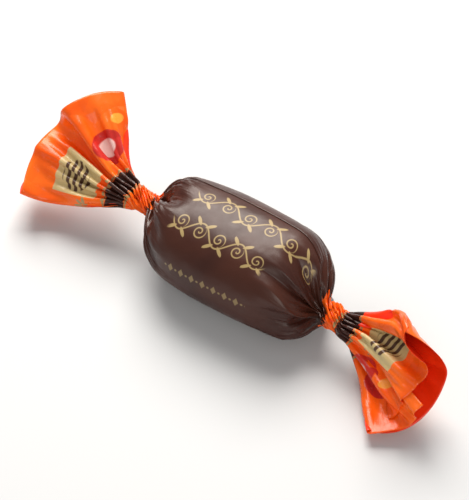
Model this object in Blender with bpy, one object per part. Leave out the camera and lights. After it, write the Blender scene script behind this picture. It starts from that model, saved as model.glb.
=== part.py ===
"""Twist-wrapped caramel lying on its side.

One sheet of printed film is rolled round a barrel-shaped sweet. At each end it is gathered into folds,
twisted into a short neck, and left to open again as a flattened trumpet with a cornered mouth.
The wrapper is shut, so the part is one closed solid: solid through the sweet and the necks, and hollow
only in the two open trumpets.

Frame: origin in the middle of the flat spot that the candy rests on, +X along the sweet, +Z up.
Lengths are in millimetres up to loft(), which makes the mesh in metres.
"""

import math
import random

import bmesh
import bpy
from mathutils import Matrix, Vector, noise

MM = 0.001  # metres

# The wrapped sweet
BODY_LENGTH = 38.0
BODY_WIDTH = 20.6
BODY_HEIGHT = 17.0
BARREL_POWER = 3.6  # more makes the barrel's sides straighter
SHOULDER_POWER = 1.6  # 1 closes the ends as a cone, 2 as a ball
SECTION_POWER = 2.35  # of the cross-section: 2 is an ellipse, more is squarer
REST_DEPTH = 0.12  # how far the underside is pressed flat
LUMP = 0.16  # height of the sweet's gentle unevenness
LUMPS_ROUND = 2  # how many times it rises on the way round
LUMP_PHASE = 1.1
LUMP_WAVE = 3.4  # how fast it changes along the sweet
ROUNDING_POWER = 3  # more keeps the squarer section closer to the neck
NECK_PULL = 0.5  # share of the half sweet after which its axis moves over to its neck

# The film over the sweet
SEAM_ANGLE = math.radians(58.0)  # where the sheet's outer edge lies, from +Y towards +Z
SEAM_STEP = 0.45
SEAM_FADE = 0.6  # share of the step that is lost at the neck
SEAM_WIDTH = math.radians(2.0)
SHOULDER_TWIST = math.radians(42.0)  # how far the folds have turned where they reach the neck
SHOULDER_DECAY = 3.2  # distance from the neck in which that turn fades

# The folds of a gathered end: how far they reach up the shoulder, their depth, their width there,
# and how far into the neck's radius they cut. Each is drawn from a range.
PLEATS = 18
PLEAT_SHIFT = 0.22  # share of their spacing that they stray by
DEEP_PLEAT_EVERY = 4
DEEP_PLEAT = {"reach": (10.0, 15.0), "depth": (2.6, 3.4), "width": (2.6, 3.4), "groove": (0.66, 0.74)}
FINE_PLEAT = {"reach": (4.0, 8.0), "depth": (0.6, 1.1), "width": (1.0, 1.5), "groove": (0.9, 1.0)}
PLEAT_RIDGE = 0.14  # share of a fold's depth that the film beside it rises by
PLEAT_LIMIT = 0.36  # share of the shoulder's radius that the folds may cut away
COLUMNS_PER_PLEAT = 3
GATHER_START = 0.5  # share of the half sweet's rings over which the film shifts to its gathered places

# The necks and the trumpets
NECK_RADIUS = 2.6
NECK_LENGTH = 4.4
NECK_WAIST = 0.12  # share of the radius lost halfway along the neck
NECK_RIDGE = 1.04  # share of the radius that the film reaches between two folds
CRINKLE = 0.16  # share of the neck's radius that its crumpling moves
CRINKLE_WAVE = 1.5  # how fast the crumpling changes along the neck
TWIST_LENGTH = 20.4  # film from the neck to the cut edge
FLARE = 4.0  # distance in which the film turns from along the neck to outwards
FAN_HALF_WIDTH = 15.0
SWAY_WAVE = 2.2  # how fast the trumpet sways from side to side across its width
LEAN_REACH = 1.2  # more ends the trumpet's lean closer to its neck
WALL = 0.42
FLOOR_GAP = 0.35  # the trumpets stay this far above the floor
FLOOR_SOFTNESS = 0.8

# Rings of the loft
BODY_RINGS = 12
NECK_RINGS = 8
TRUMPET_RINGS = 9
CAVITY_RINGS = 5  # of the trumpet's, from the cut edge inwards
BODY_CROWDING = 1.5  # more crowds the rings towards the neck
TRUMPET_CROWDING = 1.3

# The film's look
FILM_BROWN = (0.058, 0.023, 0.017, 1.0)
FILM_ROUGHNESS = 0.34
SHARP_FOLD = math.radians(28.0)

# Each end. neck is how far its neck lies off the sweet's middle, in Y and Z. mouth is the outline of the
# cut edge as the corners of its folds: across the fan, through it, and as a share of the film's length.
# A curl is a corner of the fan rolled over: its bearing, where the roll starts, its radius and its angle.
RIGHT_END = {
    "side": 1,
    "seed": 11,
    "neck": (-1.2, -1.3),
    "twist": math.radians(150.0),
    "seam_place": 0.42,
    "fan_turn": math.radians(62.0),
    "lean_y": math.radians(3.0),
    "lean_z": math.radians(-14.0),
    "bow": 2.0,
    "sway": 1.6,
    "mouth": (
        (13.8, 0.2, 1.0), (9.4, 2.4, 0.96), (3.4, 1.0, 0.84), (-2.4, 5.0, 0.84), (-8.8, 2.4, 0.93),
        (-13.8, 0.8, 1.0), (-9.4, -1.2, 1.04), (-3.4, -2.0, 1.0), (2.8, -4.2, 1.02), (8.6, -1.4, 1.04),
    ),
    "curls": (
        (math.radians(30.0), 14.4, 6.4, math.radians(72.0)),
        (math.radians(180.0), 3.8, 5.6, math.radians(58.0)),
    ),
}
LEFT_END = {
    "side": -1,
    "seed": 23,
    "neck": (0.8, 0.6),
    "twist": math.radians(-150.0),
    "seam_place": 0.67,
    "fan_turn": math.radians(30.0),
    "lean_y": math.radians(9.0),
    "lean_z": math.radians(10.0),
    "bow": -2.0,
    "sway": 1.8,
    "mouth": (
        (13.6, 0.2, 1.0), (8.0, 3.4, 1.0), (2.4, 4.8, 1.02), (0.6, 0.4, 0.9), (-5.6, 4.6, 0.98),
        (-13.8, 1.0, 1.04), (-9.8, -2.6, 1.0), (-4.0, -4.6, 0.94), (1.6, -2.6, 0.98), (7.6, -4.2, 0.98),
    ),
    "curls": ((math.radians(150.0), 16.5, 2.6, math.radians(80.0)),),
}


def smooth_step(value):
    """0 to 1 with level ends."""
    value = min(1.0, max(0.0, value))
    return value * value * (3.0 - 2.0 * value)


def soft_max(first, second, power=4.0):
    """The larger of two lengths, with a rounded corner where they cross."""
    return (first**power + second**power) ** (1.0 / power)


def make_pleats(seed):
    """The folds of one gathered end, each with its place round the neck."""
    draw = random.Random(seed)
    pleats = []
    for number in range(PLEATS):
        kind = DEEP_PLEAT if number % DEEP_PLEAT_EVERY == DEEP_PLEAT_EVERY // 2 else FINE_PLEAT
        pleat = {name: draw.uniform(*bounds) for name, bounds in kind.items()}
        shift = draw.uniform(-PLEAT_SHIFT, PLEAT_SHIFT) if number else 0.0
        pleat["turn"] = (number + shift) / PLEATS
        pleats.append(pleat)
    return pleats


def make_columns(pleats, corner_turns):
    """Lengthwise lines of the loft: place round the neck, place round the sweet, pleat and place in it."""
    columns = []
    for number, pleat in enumerate(pleats):
        after = pleats[number + 1]["turn"] if number + 1 < PLEATS else 1.0
        for step in range(COLUMNS_PER_PLEAT):
            share = step / COLUMNS_PER_PLEAT
            turn = pleat["turn"] + (after - pleat["turn"]) * share
            columns.append([turn, (number + share) / PLEATS, number, share])
    columns.append([1.0 - SEAM_WIDTH / math.tau] * 2 + [PLEATS - 1, 1.0])
    for corner_turn in corner_turns:
        nearest = min(columns[1:-1], key=lambda column: abs(column[0] - corner_turn))
        number = columns.index(nearest)
        if columns[number - 1][0] < corner_turn < columns[number + 1][0]:
            nearest[0] = corner_turn
    return columns


def pleat_offset(pleats, turn, radius, to_neck):
    """How far the film stands above (positive) or below the smooth shoulder."""
    offset = 0.0
    for pleat in pleats:
        fade = max(0.0, 1.0 - to_neck / pleat["reach"])
        away = abs((turn - pleat["turn"] + 0.5) % 1.0 - 0.5) * math.tau * radius
        valley = max(0.0, 1.0 - away / pleat["width"])
        offset += fade * pleat["depth"] * (PLEAT_RIDGE - valley)
    return max(offset, -PLEAT_LIMIT * radius)


def ring_on_body(end, share):
    """One ring of the loft over the sweet, from its middle (0) to the neck (1)."""
    reached = 1.0 - (1.0 - share) ** BODY_CROWDING
    along = BODY_LENGTH / 2.0 * reached
    closing = (1.0 - reached**BARREL_POWER) ** (1.0 / SHOULDER_POWER)
    half_width = soft_max(BODY_WIDTH / 2.0 * closing, NECK_RADIUS)
    half_height = soft_max(BODY_HEIGHT / 2.0 * closing, NECK_RADIUS)
    mean = (half_width + half_height) / 2.0
    to_neck = math.hypot(BODY_LENGTH / 2.0 - along, mean - NECK_RADIUS)
    twist = end["shoulder_twist"] * math.exp(-to_neck / SHOULDER_DECAY)
    aside = smooth_step((reached - NECK_PULL) / (1.0 - NECK_PULL))
    ring = []
    for turn, even, _, _ in end["columns"]:
        lay = even + (turn - even) * smooth_step(share / GATHER_START)
        angle = SEAM_ANGLE + lay * math.tau + twist
        cos, sin = math.cos(angle), math.sin(angle)
        square = (abs(cos) ** SECTION_POWER + abs(sin) ** SECTION_POWER) ** (-1.0 / SECTION_POWER)
        fullness = 1.0 + (square - 1.0) * (1.0 - reached**ROUNDING_POWER)
        grow = pleat_offset(end["pleats"], lay, mean, to_neck)
        grow += SEAM_STEP * lay * (1.0 - SEAM_FADE * reached)
        lump = math.sin(LUMPS_ROUND * angle + LUMP_PHASE) * math.cos(LUMP_WAVE * reached + end["side"])
        grow += LUMP * (1.0 - reached) * lump
        across = (half_width * fullness + grow) * cos + end["neck"][0] * aside
        up = (half_height * fullness + grow) * sin + end["neck"][1] * aside
        ring.append(Vector((along, across, up)))
    return ring


def neck_point(end, column, share):
    """A point on the twisted neck, from where it leaves the sweet (0) to where the trumpet starts (1)."""
    turn, _, number, place = end["columns"][column]
    twist = end["shoulder_twist"] + (end["full_twist"] - end["shoulder_twist"]) * share
    angle = SEAM_ANGLE + turn * math.tau + twist
    groove = end["pleats"][number]["groove"]
    groove_after = end["pleats"][(number + 1) % PLEATS]["groove"]
    deepest = groove + (groove_after - groove) * place
    crest = math.sin(math.pi * place)
    middle = math.sin(math.pi * share)
    spot = Vector((math.cos(angle), math.sin(angle), share * CRINKLE_WAVE + end["seed"]))
    crumpled = 1.0 + (CRINKLE * noise.noise(spot) - NECK_WAIST) * middle
    radius = NECK_RADIUS * crumpled * (deepest + (NECK_RIDGE - deepest) * crest)
    return Vector((NECK_LENGTH * share, radius * math.cos(angle), radius * math.sin(angle)))


def inset(corners, distance):
    """The outline drawn this far inside another, corner for corner."""
    moved = []
    for before, corner, after in zip(corners[-1:] + corners[:-1], corners, corners[1:] + corners[:1]):
        heading_in = (corner - before).xy.normalized()
        heading_out = (after - corner).xy.normalized()
        inwards = heading_in.orthogonal() + heading_out.orthogonal()
        miter = inwards * distance / (1.0 + heading_in.dot(heading_out))
        moved.append(corner + miter.to_3d())
    return moved


def mouth_corners(end):
    """The corners of the cut edge, and the share of its length that each side between two of them takes."""
    corners = [Vector(corner) for corner in end["mouth"]]
    lengths = [(after - corner).xy.length for corner, after in zip(corners, corners[1:] + corners[:1])]
    return corners, [length / sum(lengths) for length in lengths]


def mouth_point(end, turn, wall=0.0):
    """The cut edge at a place round the film: across and through the fan, and the share of length."""
    corners, sides = mouth_corners(end)
    travelled = (turn + end["seam_place"]) % 1.0
    number = 0
    while number < len(sides) - 1 and travelled > sides[number]:
        travelled -= sides[number]
        number += 1
    inner = inset(corners, wall)
    return inner[number].lerp(inner[(number + 1) % len(inner)], travelled / sides[number])


def curl(point, bearing, start, radius, angle):
    """Rolls what lies beyond a line across the fan over towards its near side."""
    across, through, forward = point
    beyond = across * math.cos(bearing) + forward * math.sin(bearing) - start
    if beyond <= 0.0:
        return point
    rolled = min(beyond / radius, angle)
    rest = beyond - rolled * radius
    shift = (radius - through) * math.sin(rolled) + rest * math.cos(rolled) - beyond
    lifted = radius - (radius - through) * math.cos(rolled) + rest * math.sin(rolled)
    return Vector((across + shift * math.cos(bearing), lifted, forward + shift * math.sin(bearing)))


def trumpet_point(end, column, share, wall):
    """A point on the opening film, from the neck (0) to the cut edge (1), this far inside its outer face."""
    across, through, length_share = mouth_point(end, end["columns"][column][0], wall)
    reach = TWIST_LENGTH - FLARE / 2.0
    forward = math.sqrt(reach**2 - across**2 - through**2) * length_share
    travelled = share * TWIST_LENGTH
    if travelled < FLARE:
        # This curve starts level with the neck and meets the straight film beyond it without a kink.
        part = travelled / FLARE
        outward = FLARE * (part**3 - part**4 / 2.0)
    else:
        outward = travelled - FLARE / 2.0
    opened = outward / reach
    lean = across / FAN_HALF_WIDTH
    sway = end["sway"] * math.sin(SWAY_WAVE * lean)
    through = through * opened + opened**2 * (end["bow"] * lean**2 + sway)
    fan = Vector((across * opened, through, NECK_LENGTH + travelled - outward + forward * opened))
    for bearing, start, radius, angle in end["curls"]:
        fan = curl(fan, bearing, start, radius, angle)
    across, through, forward = fan
    start = neck_point(end, column, 1.0) * (1.0 - opened)
    turn = end["fan_turn"]
    point = Vector((
        forward,
        start.y + across * math.cos(turn) - through * math.sin(turn),
        start.z + across * math.sin(turn) + through * math.cos(turn),
    ))
    root = Vector((NECK_LENGTH, 0.0, 0.0))
    bend = smooth_step(share * LEAN_REACH)
    turned = Matrix.Rotation(end["lean_z"] * bend, 3, "Z") @ Matrix.Rotation(-end["lean_y"] * bend, 3, "Y")
    return root + turned @ (point - root)


def place_ring(end, ring):
    """From the end's own axes to the row's: outwards becomes +X or -X, and the sweet rests on the floor."""
    placed = []
    for along, across, up in ring:
        height = up + BODY_HEIGHT / 2.0 - REST_DEPTH
        on_sweet = along <= BODY_LENGTH / 2.0
        if not on_sweet and height < FLOOR_GAP + FLOOR_SOFTNESS:
            # A trumpet that would reach through the floor flattens out above it instead.
            height = FLOOR_GAP + FLOOR_SOFTNESS * math.exp((height - FLOOR_GAP) / FLOOR_SOFTNESS - 1.0)
        placed.append(Vector((along * end["side"], across, max(height, 0.0))))
    return placed


def prepare(end):
    """Works out the pleats and columns of an end, and the twist that meets its mouth without crossing it."""
    _, sides = mouth_corners(end)
    corner_turns = [(sum(sides[:number]) - end["seam_place"]) % 1.0 for number in range(len(sides))]
    end["pleats"] = make_pleats(end["seed"])
    end["columns"] = make_columns(end["pleats"], corner_turns)
    lag = Vector((0.0, 0.0))
    for turn, _, _, _ in end["columns"]:
        across, through, _ = mouth_point(end, turn)
        behind = math.atan2(through, across) + end["fan_turn"] - SEAM_ANGLE - turn * math.tau
        lag += Vector((math.cos(behind), math.sin(behind)))
    met = math.atan2(lag.y, lag.x)
    end["full_twist"] = met + math.tau * round((end["twist"] - met) / math.tau)
    end["shoulder_twist"] = math.copysign(SHOULDER_TWIST, end["full_twist"])


def rings_of(end):
    """All rings of one end, from the sweet's middle out over the trumpet's lip and into its cavity."""
    prepare(end)
    columns = range(len(end["columns"]))
    neck = Vector((BODY_LENGTH / 2.0, *end["neck"]))
    rings = [ring_on_body(end, number / BODY_RINGS) for number in range(BODY_RINGS)]
    for number in range(NECK_RINGS):
        share = number / (NECK_RINGS - 1)
        rings.append([neck + neck_point(end, column, share) for column in columns])
    shares = [(number / TRUMPET_RINGS) ** TRUMPET_CROWDING for number in range(1, TRUMPET_RINGS + 1)]
    for share in shares:
        rings.append([neck + trumpet_point(end, column, share, 0.0) for column in columns])
    for share in shares[: -CAVITY_RINGS - 1 : -1]:
        rings.append([neck + trumpet_point(end, column, share, WALL) for column in columns])
    return [place_ring(end, ring) for ring in rings]


def loft(rings, name):
    """A closed mesh, in metres, through rings of equal size, capped at both ends."""
    shape = bmesh.new()
    rows = [[shape.verts.new(point * MM) for point in ring] for ring in rings]
    for row, after in zip(rows, rows[1:]):
        for number in range(len(row)):
            beside = (number + 1) % len(row)
            shape.faces.new((row[number], row[beside], after[beside], after[number]))
    for row in (rows[0], rows[-1]):
        rim = [edge for edge in shape.edges if all(corner in row for corner in edge.verts)]
        bmesh.ops.triangle_fill(shape, use_beauty=True, edges=rim)
    bmesh.ops.recalc_face_normals(shape, faces=shape.faces)
    mesh = bpy.data.meshes.new(name)
    shape.to_mesh(mesh)
    shape.free()
    return bpy.data.objects.new(name, mesh)


def film_material():
    """Printed film over the sweet: dark brown with a soft gloss."""
    material = bpy.data.materials.new("brown printed film")
    material.use_nodes = True
    shader = material.node_tree.nodes["Principled BSDF"]
    shader.inputs["Base Color"].default_value = FILM_BROWN
    shader.inputs["Roughness"].default_value = FILM_ROUGHNESS
    shader.inputs["Metallic"].default_value = 0.0
    return material


def main():
    for leftover in list(bpy.data.objects):
        bpy.data.objects.remove(leftover)
    left = rings_of(LEFT_END)
    right = rings_of(RIGHT_END)
    candy = loft(left[:0:-1] + right, "wrapped_caramel")
    candy.data.materials.append(film_material())
    candy.data.shade_smooth()
    candy.data.set_sharp_from_angle(angle=SHARP_FOLD)
    parts = bpy.data.collections.new("wrapped caramel")
    bpy.context.scene.collection.children.link(parts)
    parts.objects.link(candy)


main()
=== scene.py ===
# %% [markdown]
# # A twist-wrapped caramel
#
# The real thing is a soft caramel about 38 mm long in one rectangle of printed
# plastic film. The film goes once round the sweet with a 9 mm overlap, and both
# ends are twisted shut, so the whole look comes from one flat sheet: smooth and
# tight over the sweet, gathered into pleats at its shoulders, wrung into a short
# crinkled neck, and open again in a stiff fan at each end.
#
# Everything here is worked out in millimetres and turned to metres at the end.

# %% Load the fixed frame
import math
import random

import bpy
import numpy as np
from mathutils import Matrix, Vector


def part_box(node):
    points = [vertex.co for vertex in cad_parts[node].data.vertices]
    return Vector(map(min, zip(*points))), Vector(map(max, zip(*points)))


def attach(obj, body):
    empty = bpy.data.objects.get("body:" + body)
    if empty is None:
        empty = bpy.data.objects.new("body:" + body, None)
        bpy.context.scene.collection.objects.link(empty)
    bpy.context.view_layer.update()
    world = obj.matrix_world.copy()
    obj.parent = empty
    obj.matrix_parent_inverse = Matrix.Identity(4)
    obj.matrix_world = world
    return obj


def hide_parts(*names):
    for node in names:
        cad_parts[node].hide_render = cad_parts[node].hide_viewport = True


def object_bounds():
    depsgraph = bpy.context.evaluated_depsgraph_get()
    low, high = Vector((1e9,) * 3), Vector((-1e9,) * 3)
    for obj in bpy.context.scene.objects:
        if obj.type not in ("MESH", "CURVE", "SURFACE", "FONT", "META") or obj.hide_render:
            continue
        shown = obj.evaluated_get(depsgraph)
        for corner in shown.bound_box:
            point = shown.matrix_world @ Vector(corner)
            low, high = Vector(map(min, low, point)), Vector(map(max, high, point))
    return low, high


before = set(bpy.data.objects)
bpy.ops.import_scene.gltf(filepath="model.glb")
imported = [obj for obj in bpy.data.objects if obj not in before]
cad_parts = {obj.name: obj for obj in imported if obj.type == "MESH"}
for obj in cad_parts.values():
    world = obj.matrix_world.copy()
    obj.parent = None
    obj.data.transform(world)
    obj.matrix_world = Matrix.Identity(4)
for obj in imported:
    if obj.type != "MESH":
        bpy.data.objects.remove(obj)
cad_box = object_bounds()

MM = 0.001
low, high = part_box("wrapped_caramel")
print("the sweet's solid is", [round((b - a) / MM, 1) for a, b in zip(low, high)], "mm")

# %% [markdown]
# ## Sizes
#
# The sweet is a rounded lozenge. Its section is a superellipse, halfway between an
# ellipse and a box, and along its length it keeps its girth until the shoulders
# close. These are the same named values as the solid has, so the film lies on it.

# %% The sweet's own sizes
BODY_LENGTH = 38.0
BODY_WIDTH = 20.6
BODY_HEIGHT = 17.0
BARREL_POWER = 3.6
SHOULDER_POWER = 1.6
SECTION_POWER = 2.35
ROUNDING_POWER = 3
NECK_PULL = 0.5
REST_DEPTH = 0.12
LUMP = 0.16
LUMPS_ROUND = 2
LUMP_PHASE = 1.1
LUMP_WAVE = 3.4
LIFT = BODY_HEIGHT / 2 - REST_DEPTH

# %% The necks, tails and film
NECK_RADIUS = 2.6
NECK_LENGTH = 4.4
NECK_FILM = 6.0
NECK_WAIST = 0.12
TWIST_LENGTH = 20.4
FLARE = 4.0
FAN_HALF_WIDTH = 15.0
SWAY_WAVE = 2.2
LEAN_REACH = 1.2
FLOOR_GAP = 0.35
FLOOR_SOFTNESS = 0.8
GIRTH = 60.5
FILM_WALL = 0.06
LAYER_GAP = 0.12
NECK_LAYER_SHARE = 0.4
SEAM_ANGLE = math.radians(58.0)
SHOULDER_TWIST = math.radians(42.0)
SHOULDER_DECAY = 3.2

# %% [markdown]
# Each end is twisted by hand or machine on its own, so each has its own amount of
# twist, its own lean and its own open mouth. A mouth is given by its corners,
# across and through the fan, and a curl rolls the film over past a line: its
# bearing in the fan, where it starts, its radius and how far it rolls. A crease
# has a place round from the seam, a reach from the neck and a depth. Gathers are
# the loose folds that run out of a neck into its fan.

# %% Two ends
RIGHT_END = {
    "side": 1, "seed": 11, "neck": (-1.2, -1.3),
    "twist": math.radians(150.0), "seam_place": 0.42, "fan_turn": math.radians(62.0),
    "lean_y": math.radians(3.0), "lean_z": math.radians(-14.0), "bow": 2.0, "sway": 1.6,
    "mouth": ((13.8, 0.2), (9.4, 2.4), (3.4, 1.0), (-2.4, 5.0), (-8.8, 2.4),
              (-13.8, 0.8), (-9.4, -1.2), (-3.4, -2.0), (2.8, -4.2), (8.6, -1.4)),
    "curls": ((math.radians(30.0), 14.4, 6.4, math.radians(72.0)),
              (math.radians(180.0), 3.8, 5.6, math.radians(58.0))),
    "gather_count": 6, "gather_strength": (1.2, 2.55),
    "creases": ((4.2, 13.0, 3.8), (10.8, 16.0, 4.2), (17.6, 13.0, 3.6), (33.0, 11.0, 3.0), (47.0, 12.0, 3.2)),
}
LEFT_END = {
    "side": -1, "seed": 23, "neck": (0.8, 0.6),
    "twist": math.radians(-150.0), "seam_place": 0.67, "fan_turn": math.radians(30.0),
    "lean_y": math.radians(9.0), "lean_z": math.radians(10.0), "bow": -2.0, "sway": 1.8,
    "mouth": ((13.6, 0.2), (8.0, 3.4), (2.4, 4.8), (0.6, 0.4), (-5.6, 4.6),
              (-13.8, 1.0), (-9.8, -2.6), (-4.0, -4.6), (1.6, -2.6), (7.6, -4.2)),
    "curls": ((math.radians(150.0), 16.5, 2.6, math.radians(80.0)),),
    "gather_count": 7, "gather_strength": (0.8, 1.7),
    "creases": ((7.6, 11.0, 2.8), (15.0, 12.0, 3.2), (28.0, 11.0, 3.0), (44.0, 12.0, 3.0)),
}


# %% [markdown]
# ## Where the film lies
#
# A point of the film has two addresses. On the flat sheet it is so many
# millimetres along and so many round. Wrapped, it is somewhere on the sweet, in a
# neck or in a fan. The functions below take the first to the second, for whole
# arrays of points at once.
#
# The film could also be pushed about with the mouse in sculpt mode, but then the
# print would stretch. Going through the flat address keeps every millimetre of
# print a millimetre.

# %% Small helpers
def smooth_step(value):
    value = np.clip(value, 0, 1)
    return value * value * (3 - 2 * value)


def soft_max(first, second, power=4.0):
    return (first ** power + second ** power) ** (1 / power)


def closing(reached):
    """the share of its full girth the sweet keeps, 0 at the middle and 1 at its tip"""
    return np.maximum(0, 1 - reached ** BARREL_POWER) ** (1 / SHOULDER_POWER)


# %% How much film the profile takes up
PROFILE_STEPS = 400
BODY_CROWDING = 1.5
steps = 1 - (1 - np.linspace(0, 1, PROFILE_STEPS)) ** BODY_CROWDING
girth_radius = soft_max((BODY_WIDTH + BODY_HEIGHT) / 4 * closing(steps), NECK_RADIUS)
pieces_of_arc = np.hypot(np.diff(BODY_LENGTH / 2 * steps), np.diff(girth_radius))
arc_table = np.concatenate([[0], np.cumsum(pieces_of_arc)])
BODY_FILM = arc_table[-1]
NECK_MIDDLE = BODY_FILM + NECK_FILM / 2
FAN_ROOT = BODY_FILM + NECK_FILM
HALF_FILM = FAN_ROOT + TWIST_LENGTH
print("film from the middle to a cut edge: %.1f mm" % HALF_FILM)

# %% [markdown]
# ## Pleats
#
# Film can't shrink, so where the girth closes from 60 mm to 16 mm at a neck the
# spare film folds into pleats. A few run far up the shoulder and are deep, the
# rest are short. A seeded draw gives each its own reach, depth and width, so they
# look gathered and not machined, and come out the same on every run. In the neck
# each pleat is a fold, whose valley and ridge are shares of the neck's radius.

# %% Draw the pleats of an end
PLEATS = 18
PLEAT_SHIFT = 0.22
DEEP_PLEAT_EVERY = 4
DEEP_PLEAT = {"reach": (10.0, 15.0), "depth": (2.6, 3.4), "width": (2.6, 3.4)}
FINE_PLEAT = {"reach": (4.0, 8.0), "depth": (0.6, 1.1), "width": (1.0, 1.5)}
DEEP_VALLEY, FINE_VALLEY, RIDGE = (0.15, 0.35), (0.45, 0.7), (0.92, 1.1)
PLEAT_RIDGE = 0.14
PLEAT_LIMIT = 0.36
FOLD_SEED, GATHER_SEED = 100, 200


def make_pleats(seed):
    draw, fold = random.Random(seed), random.Random(seed + FOLD_SEED)
    pleats = []
    for number in range(PLEATS):
        deep = number % DEEP_PLEAT_EVERY == DEEP_PLEAT_EVERY // 2
        pleat = {name: draw.uniform(*bounds) for name, bounds in (DEEP_PLEAT if deep else FINE_PLEAT).items()}
        draw.random()  # a spare draw, which leads to the set of pleats that was chosen
        shift = draw.uniform(-PLEAT_SHIFT, PLEAT_SHIFT) if number else 0.0
        pleat["turn"] = (number + shift) / PLEATS
        pleat["low"] = fold.uniform(*(DEEP_VALLEY if deep else FINE_VALLEY))
        pleats.append(pleat)
    for pleat in pleats:
        pleat["high"] = fold.uniform(*RIDGE)
    return pleats


def pleat_offset(end, turn, radius, to_neck):
    """how far the pleats push the film in or out, at a distance from the neck"""
    offset = np.zeros_like(turn + to_neck)
    for pleat in end["pleats"]:
        fade = np.maximum(0, 1 - to_neck / pleat["reach"])
        away = np.abs((turn - pleat["turn"] + 0.5) % 1.0 - 0.5) * math.tau * radius
        valley = np.maximum(0, 1 - away / pleat["width"])
        offset = offset + fade * pleat["depth"] * (PLEAT_RIDGE - valley)
    return np.maximum(offset, -PLEAT_LIMIT * radius)


# %% In the neck the film zigzags between its pleats
def gathered(end, turn):
    """an even turn moved so the pleats share the neck evenly"""
    whole = np.floor(turn)
    places = [pleat["turn"] for pleat in end["pleats"]] + [1.0]
    return whole + np.interp(turn - whole, np.linspace(0, 1, PLEATS + 1), places)


def zigzag(end, turn):
    """the share of the neck's radius, low in each pleat and high between"""
    count = (turn % 1.0) * PLEATS
    number = np.floor(count).astype(int) % PLEATS
    part = count - np.floor(count)
    fold_low = np.array([pleat["low"] for pleat in end["pleats"]])
    fold_high = np.array([pleat["high"] for pleat in end["pleats"]])
    here, after, top = fold_low[number], fold_low[(number + 1) % PLEATS], fold_high[number]
    return np.where(part < 0.5, here + (top - here) * part * 2, top + (after - top) * (part * 2 - 1))


# %% The film on the sweet
GATHER_START = 0.5
NECK_BLEND = 4.0


def over_sweet(end, reached, even):
    along = BODY_LENGTH / 2 * reached
    half_width = soft_max(BODY_WIDTH / 2 * closing(reached), NECK_RADIUS)
    half_height = soft_max(BODY_HEIGHT / 2 * closing(reached), NECK_RADIUS)
    radius = (half_width + half_height) / 2
    to_neck = np.hypot(BODY_LENGTH / 2 - along, radius - NECK_RADIUS)
    near_neck = smooth_step(1 - to_neck / NECK_BLEND)
    share = 1 - (1 - reached) ** (1 / BODY_CROWDING)
    turn = even + (gathered(end, even) - even) * smooth_step(share / GATHER_START)
    angle = SEAM_ANGLE + turn * math.tau + end["shoulder_twist"] * np.exp(-to_neck / SHOULDER_DECAY)
    cos, sin = np.cos(angle), np.sin(angle)
    squared = (np.abs(cos) ** SECTION_POWER + np.abs(sin) ** SECTION_POWER) ** (-1 / SECTION_POWER)
    full = 1 + (squared - 1) * (1 - reached ** ROUNDING_POWER)
    grow = pleat_offset(end, turn, radius, to_neck) * (1 - near_neck)
    grow = grow + LAYER_GAP * turn + NECK_RADIUS * (zigzag(end, even) - 1) * near_neck
    lump = np.sin(LUMPS_ROUND * angle + LUMP_PHASE) * np.cos(LUMP_WAVE * reached + end["side"])
    grow = grow + LUMP * (1 - reached) * lump
    aside = smooth_step((reached - NECK_PULL) / (1 - NECK_PULL))
    across = (half_width * full + grow) * cos + end["neck"][0] * aside
    up = (half_height * full + grow) * sin + end["neck"][1] * aside
    return np.stack([along + 0 * angle, across, up], -1)


# %% The film in a neck
def in_neck(end, share, even):
    twist = end["shoulder_twist"] + (end["full_twist"] - end["shoulder_twist"]) * share
    angle = SEAM_ANGLE + gathered(end, even) * math.tau + twist
    waist = 1 - NECK_WAIST * np.sin(math.pi * share)
    radius = NECK_RADIUS * waist * zigzag(end, even) + LAYER_GAP * NECK_LAYER_SHARE * even
    return np.stack([NECK_LENGTH * share + 0 * angle, radius * np.cos(angle), radius * np.sin(angle)], -1)


# %% [markdown]
# ## Fans
#
# Past a neck the film springs open, because it was flat and stiff before it was
# twisted. It leaves the neck in a short flare and then runs straight to the cut
# edge, so a fan is made of nearly flat panels between a few straight folds. Each
# fan is laid out flat first, then rolled over at its curls and leaned.

# %% The mouth of a fan
MOUTH_LAP = 0.4
EDGE_REACH = 0.004
CORNER_REACH = 0.014


def mouth_point(end, turn):
    """a point of the mouth, so many turns round, and which way is in, shorter where the mouth has a corner"""
    corners = np.array(end["mouth"])
    loop = np.vstack([corners, corners[:1]])
    lengths = np.linalg.norm(np.diff(loop, axis=0), axis=1)
    places = np.concatenate([[0], np.cumsum(lengths)]) / lengths.sum()

    def on_loop(turn):
        at = (turn + end["seam_place"]) % 1.0
        return np.stack([np.interp(at, places, loop[:, 0]), np.interp(at, places, loop[:, 1])], -1)

    def facing_in(reach):
        heading = (on_loop(turn + reach) - on_loop(turn - reach)) / (2 * reach * lengths.sum())
        return np.stack([-heading[..., 1], heading[..., 0]], -1)

    lapped = facing_in(EDGE_REACH)
    lapped *= (MOUTH_LAP * (1 - turn) / np.linalg.norm(lapped, axis=-1))[..., None]
    return on_loop(turn) + lapped, facing_in(CORNER_REACH)


# %% Line the twist up with the mouth
MOUTH_SAMPLES = 55
for end in (LEFT_END, RIGHT_END):
    end["pleats"] = make_pleats(end["seed"])
    turns = np.linspace(0, 1, MOUTH_SAMPLES, endpoint=False)
    around, _ = mouth_point(end, turns)
    behind = np.arctan2(around[:, 1], around[:, 0]) + end["fan_turn"] - SEAM_ANGLE - turns * math.tau
    met = math.atan2(np.sin(behind).mean(), np.cos(behind).mean())
    end["full_twist"] = met + math.tau * round((end["twist"] - met) / math.tau)
    end["shoulder_twist"] = math.copysign(SHOULDER_TWIST, end["full_twist"])
    print("end", end["side"], "is twisted %.0f degrees" % math.degrees(end["full_twist"]))


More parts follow.
